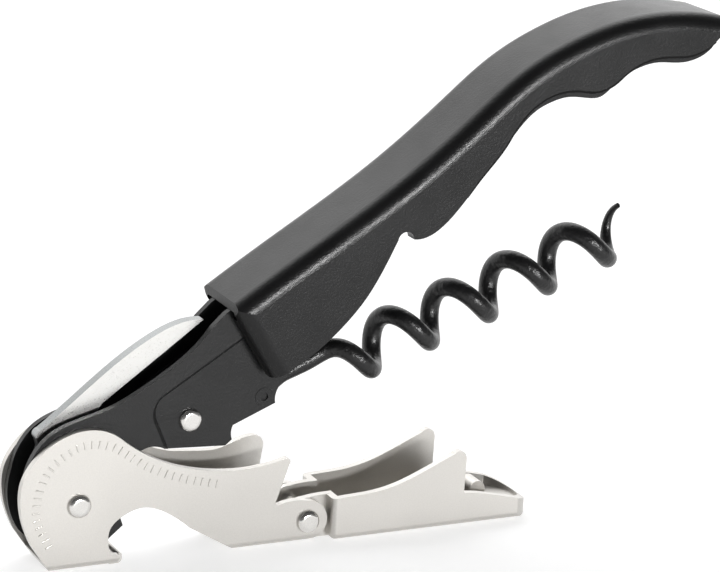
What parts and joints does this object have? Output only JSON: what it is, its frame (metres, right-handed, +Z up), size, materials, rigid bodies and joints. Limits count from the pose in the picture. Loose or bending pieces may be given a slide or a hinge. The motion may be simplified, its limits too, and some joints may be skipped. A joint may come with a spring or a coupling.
{
  "type": "waiters corkscrew",
  "caption": "Folding waiter's corkscrew with a black curved handle, helical worm, small folding knife and a hinged plated lever, shown open and standing on its lever.",
  "frame": {"origin": "bottom centre of the bounding box, on the surface the levers stand on", "axes": "+X from the pinned head towards the handle's tail, +Y across the widths, +Z up; the levers lie along X and the handle rises 35 degrees from them"},
  "size_m": [0.1002, 0.0132, 0.071],
  "materials": {
    "handle_black": "satin black coating with a fine grain",
    "frame_black": "matte black coating",
    "lever_nickel": "satin nickel plate",
    "blade_steel": "fine ground",
    "rivet_steel": "polished domes",
    "worm_black": "semi-gloss low-friction coating",
    "spring_steel": "plain"
  },
  "bodies": {
    "handle": {"handle_shell": "handle_black", "frame": "frame_black", "head_rivet": "rivet_steel", "frame_rivet": "rivet_steel", "worm_pin": "worm_black", "knife_washer_near": "spring_steel", "knife_washer_far": "spring_steel", "back_spring": "spring_steel"},
    "knife": {"knife_blade": "blade_steel"},
    "worm_body": {"worm": "worm_black"},
    "lever": {"first_lever": "lever_nickel", "stage_rivet": "rivet_steel"},
    "sleeve": {"stage_sleeve": "rivet_steel"},
    "lever_end": {"second_lever": "lever_nickel"}
  },
  "joints": [
    {"name": "lever_hinge", "type": "hinge", "parent": "handle", "child": "lever", "pos_m": [-0.04204, 0, 0.0089], "axis": [0, -1, 0], "range_deg": [-87, 22]},
    {"name": "stage_hinge", "type": "hinge", "parent": "lever", "child": "lever_end", "pos_m": [-0.00904, 0, 0.0029], "axis": [0, 1, 0], "range_deg": [0, 95]},
    {"name": "worm_hinge", "type": "hinge", "parent": "handle", "child": "worm_body", "pos_m": [-0.01548, 0, 0.02066], "axis": [0, -1, 0], "range_deg": [-37, 25]},
    {"name": "knife_hinge", "type": "hinge", "parent": "handle", "child": "knife", "pos_m": [-0.04204, 0, 0.0089], "axis": [0, -1, 0], "range_deg": [0, 115]},
    {"name": "sleeve_spin", "type": "hinge", "parent": "lever", "child": "sleeve", "pos_m": [-0.00904, 0, 0.0029], "axis": [0, 1, 0], "continuous": true}
  ]
}
